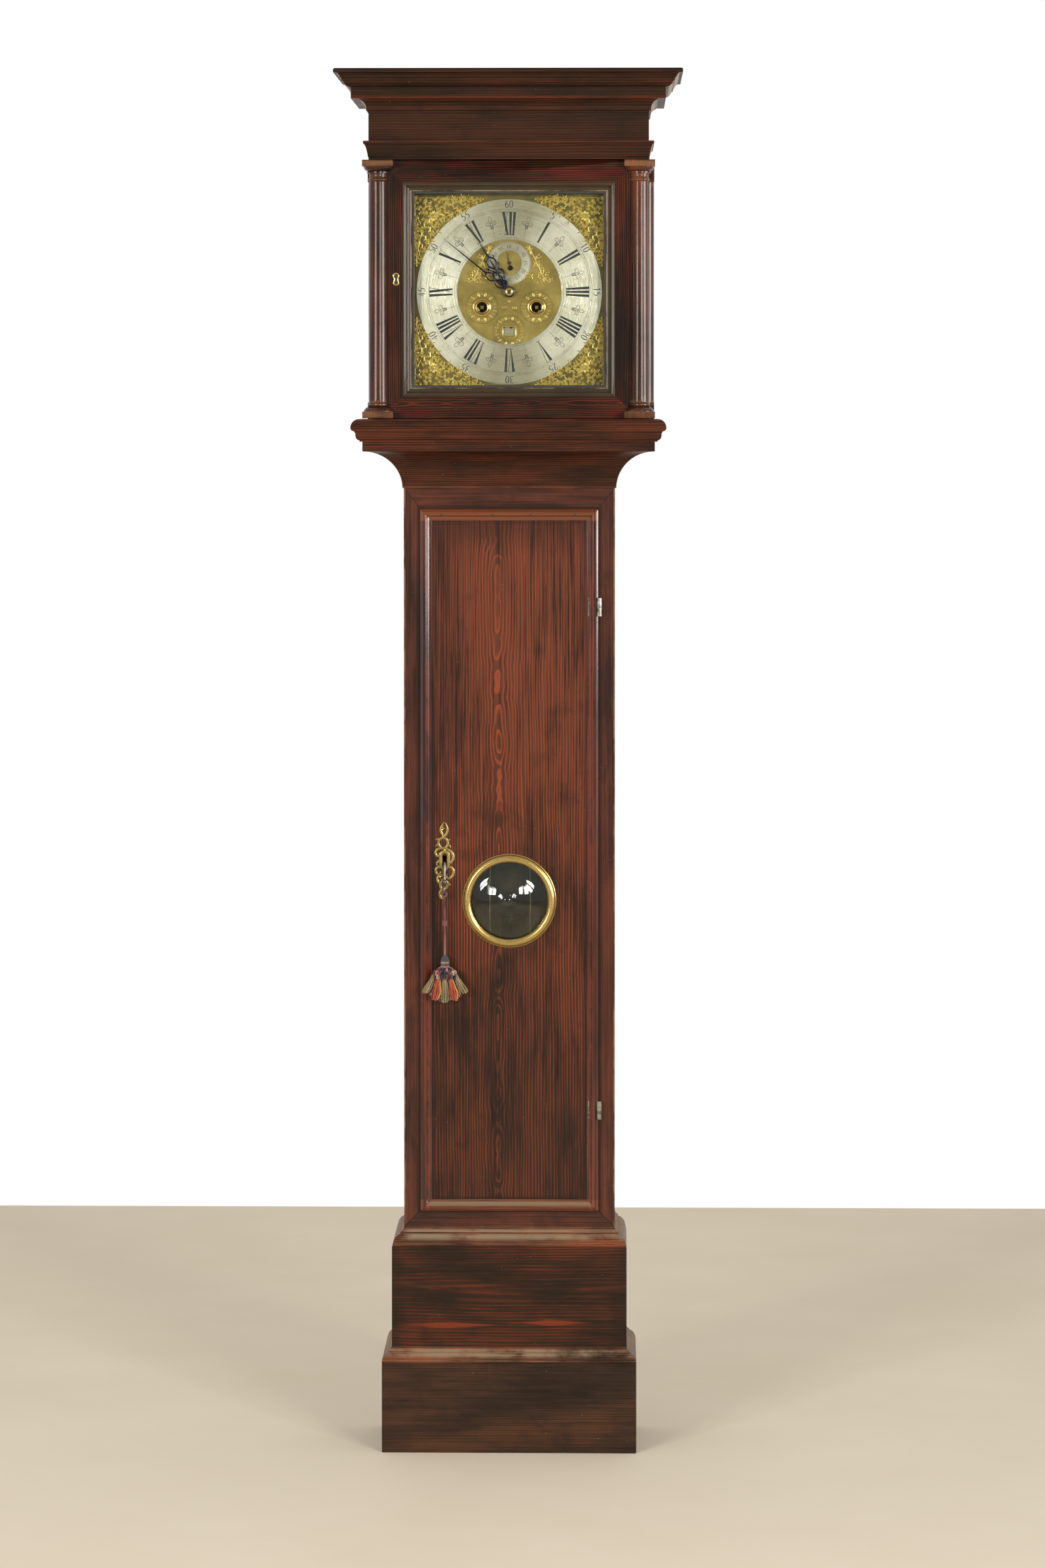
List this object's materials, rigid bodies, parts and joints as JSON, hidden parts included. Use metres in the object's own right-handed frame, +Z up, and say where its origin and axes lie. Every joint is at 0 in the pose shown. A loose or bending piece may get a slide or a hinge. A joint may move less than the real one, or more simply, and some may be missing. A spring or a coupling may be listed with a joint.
{
  "type": "longcase clock",
  "caption": "Tall weight-driven pendulum clock in a stained wood case, with a square brass dial, glazed sliding hood and a trunk door with a round window.",
  "frame": {"origin": "centre of the footprint on the floor", "axes": "+Z up, the dial faces -Y, +X is to the right as seen from the front"},
  "size_m": [0.533, 0.265, 2.135],
  "materials": {
    "stained_wood": "old red-brown stain and wax, low gloss",
    "dark_wood": "near-black stain and wax",
    "gilt_wood": "glossy dark column shafts with rubbed gilt caps and bases",
    "plain_wood": "bare old softwood",
    "clock_brass": "old lacquered brass",
    "gilt_brass": "rubbed gilding on cast brass",
    "matted_brass": "matted olive brass ground",
    "silvered": "silvered brass with black wax",
    "blued_steel": "dark blued steel",
    "steel": "grey cut steel",
    "iron": "dark cast lead and iron",
    "bell_metal": "cast bell metal",
    "clear_glass": "old window glass",
    "braid": "braided silk cord",
    "tassel_thread": "coloured silk thread",
    "gut": "gut line"
  },
  "bodies": {
    "case": {"backboard": "plain_wood", "foot_skirt": "dark_wood", "foot_moulding": "stained_wood", "base_boards": "stained_wood", "base_moulding": "stained_wood", "trunk_sides": "stained_wood", "trunk_frame": "stained_wood", "throat_moulding": "stained_wood", "seatboard": "plain_wood", "case_hinge_leaves": "clock_brass", "movement_frame": "clock_brass", "dial_plate": "matted_brass", "dial_rings": "silvered", "spandrels": "gilt_brass", "back_cocks": "clock_brass", "bell": "bell_metal"},
    "trunk_door": {"trunk_door_board": "stained_wood", "door_moulding": "stained_wood", "lenticle_ring": "gilt_brass", "lenticle_glass": "clear_glass", "trunk_escutcheon": "gilt_brass", "trunk_lock": "iron", "door_hinge_leaves": "clock_brass"},
    "key": {"trunk_key": "steel", "tassel_cord": "braid", "tassel": "tassel_thread"},
    "hood": {"hood_base_moulding": "dark_wood", "hood_carcass": "dark_wood", "rear_columns": "dark_wood", "dial_mask": "dark_wood", "hood_frieze": "dark_wood", "hood_cornice": "dark_wood"},
    "hood_door": {"hood_door_frame": "stained_wood", "hood_glass": "clear_glass", "hood_columns": "gilt_wood", "hood_door_fittings": "gilt_brass"},
    "pendulum": {"pendulum_rod": "steel", "pendulum_bob": "iron"},
    "anchor": {"pallet_anchor": "steel"},
    "going_drum": {"going_barrel": "clock_brass"},
    "centre": {"centre_wheel": "clock_brass"},
    "third": {"third_wheel": "clock_brass"},
    "escape": {"escape_wheel": "clock_brass", "seconds_hand": "blued_steel"},
    "minute": {"minute_hand": "blued_steel"},
    "motion": {"minute_wheel": "clock_brass"},
    "hour": {"hour_hand": "blued_steel"},
    "date": {"date_ring": "silvered"},
    "strike_drum": {"strike_barrel": "clock_brass"},
    "pin": {"pin_wheel": "clock_brass"},
    "locking": {"locking_wheel": "clock_brass"},
    "warning": {"warning_wheel": "clock_brass"},
    "fly_vane": {"fly": "clock_brass"},
    "bell_hammer": {"hammer": "steel"},
    "going_drive": {"going_weight": "iron", "going_line": "gut"},
    "strike_drive": {"strike_weight": "iron", "strike_line": "gut"},
    "going_sheave": {"going_pulley": "clock_brass"},
    "strike_sheave": {"strike_pulley": "clock_brass"}
  },
  "joints": [
    {"name": "trunk_door_hinge", "type": "hinge", "parent": "case", "child": "trunk_door", "pos_m": [0.139, -0.0345, 0.92], "axis": [0, 0, 1], "range_deg": [0, 100]},
    {"name": "key_swing", "type": "hinge", "parent": "trunk_door", "child": "key", "pos_m": [-0.1005, -0.034, 0.912], "axis": [0, 1, 0], "range_deg": [-4, 4]},
    {"name": "hood_slide", "type": "slide", "parent": "case", "child": "hood", "axis": [0, -1, 0], "range_m": [0, 0.28]},
    {"name": "hood_door_hinge", "type": "hinge", "parent": "hood", "child": "hood_door", "pos_m": [0.214, -0.0545, 1.8], "axis": [0, 0, 1], "range_deg": [0, 110]},
    {"name": "pendulum_swing", "type": "hinge", "parent": "case", "child": "pendulum", "pos_m": [0, 0.083, 1.8685], "axis": [0, 1, 0], "range_deg": [-3, 3]},
    {"name": "anchor_rock", "type": "hinge", "parent": "case", "child": "anchor", "pos_m": [0, 0.066, 1.8685], "axis": [0, 1, 0], "range_deg": [-3, 3]},
    {"name": "escape_turn", "type": "hinge", "parent": "case", "child": "escape", "pos_m": [0, 0.03, 1.8416], "axis": [0, 1, 0], "continuous": true},
    {"name": "third_turn", "type": "hinge", "parent": "case", "child": "third", "pos_m": [0.01113, 0.03, 1.82182], "axis": [0, 1, 0], "continuous": true},
    {"name": "centre_turn", "type": "hinge", "parent": "case", "child": "centre", "pos_m": [0, 0.03, 1.797], "axis": [0, 1, 0], "continuous": true},
    {"name": "going_barrel_turn", "type": "hinge", "parent": "case", "child": "going_drum", "pos_m": [0.0422, 0.02, 1.7733], "axis": [0, 1, 0], "continuous": true},
    {"name": "minute_hand_turn", "type": "hinge", "parent": "case", "child": "minute", "pos_m": [0, -0.04, 1.797], "axis": [0, 1, 0], "continuous": true},
    {"name": "minute_wheel_turn", "type": "hinge", "parent": "case", "child": "motion", "pos_m": [0.017, -0.01, 1.76755], "axis": [0, 1, 0], "continuous": true},
    {"name": "hour_hand_turn", "type": "hinge", "parent": "case", "child": "hour", "pos_m": [0, -0.03, 1.797], "axis": [0, 1, 0], "continuous": true},
    {"name": "date_ring_turn", "type": "hinge", "parent": "case", "child": "date", "pos_m": [0, -0.0307, 1.797], "axis": [0, 1, 0], "continuous": true},
    {"name": "fly_turn", "type": "hinge", "parent": "case", "child": "fly_vane", "pos_m": [-0.02187, 0.03, 1.87649], "axis": [0, 1, 0], "continuous": true},
    {"name": "warning_turn", "type": "hinge", "parent": "case", "child": "warning", "pos_m": [-0.03078, 0.03, 1.86106], "axis": [0, 1, 0], "continuous": true},
    {"name": "locking_turn", "type": "hinge", "parent": "case", "child": "locking", "pos_m": [-0.02684, 0.03, 1.83872], "axis": [0, 1, 0], "continuous": true},
    {"name": "pin_wheel_turn", "type": "hinge", "parent": "case", "child": "pin", "pos_m": [-0.03388, 0.03, 1.81245], "axis": [0, 1, 0], "continuous": true},
    {"name": "strike_barrel_turn", "type": "hinge", "parent": "case", "child": "strike_drum", "pos_m": [-0.0422, 0.02, 1.7733], "axis": [0, 1, 0], "continuous": true},
    {"name": "hammer_lift", "type": "hinge", "parent": "case", "child": "bell_hammer", "pos_m": [-0.062, 0.046, 1.817], "axis": [0, -1, 0], "range_deg": [0, 12], "stiffness_Nm_per_rad": 0.15, "springref_deg": -8.59},
    {"name": "going_weight_rise", "type": "slide", "parent": "case", "child": "going_drive", "axis": [0, 0, 1], "range_m": [-0.26, 0.9], "deforming": ["going_line"]},
    {"name": "going_pulley_turn", "type": "hinge", "parent": "going_drive", "child": "going_sheave", "pos_m": [0.0502, 0.023, 0.64], "axis": [0, 1, 0], "continuous": true},
    {"name": "strike_weight_rise", "type": "slide", "parent": "case", "child": "strike_drive", "axis": [0, 0, 1], "range_m": [-0.26, 0.9], "deforming": ["strike_line"]},
    {"name": "strike_pulley_turn", "type": "hinge", "parent": "strike_drive", "child": "strike_sheave", "pos_m": [-0.0502, 0.023, 0.64], "axis": [0, 1, 0], "continuous": true}
  ],
  "couplings": [
    {"joint": "third_turn", "follows": "escape_turn", "ratio": -0.125},
    {"joint": "centre_turn", "follows": "escape_turn", "ratio": 0.016667},
    {"joint": "going_barrel_turn", "follows": "escape_turn", "ratio": -0.0013889},
    {"joint": "minute_hand_turn", "follows": "escape_turn", "ratio": 0.016667},
    {"joint": "minute_wheel_turn", "follows": "escape_turn", "ratio": -0.016667},
    {"joint": "hour_hand_turn", "follows": "escape_turn", "ratio": 0.0013889},
    {"joint": "warning_turn", "follows": "fly_turn", "ratio": -0.125},
    {"joint": "locking_turn", "follows": "fly_turn", "ratio": 0.015625},
    {"joint": "pin_wheel_turn", "follows": "fly_turn", "ratio": -0.0020833},
    {"joint": "strike_barrel_turn", "follows": "fly_turn", "ratio": 0.00021368},
    {"joint": "anchor_rock", "follows": "pendulum_swing", "ratio": 1},
    {"joint": "going_pulley_turn", "follows": "going_weight_rise", "rad_per_m": -55.556},
    {"joint": "strike_pulley_turn", "follows": "strike_weight_rise", "rad_per_m": 55.556}
  ]
}
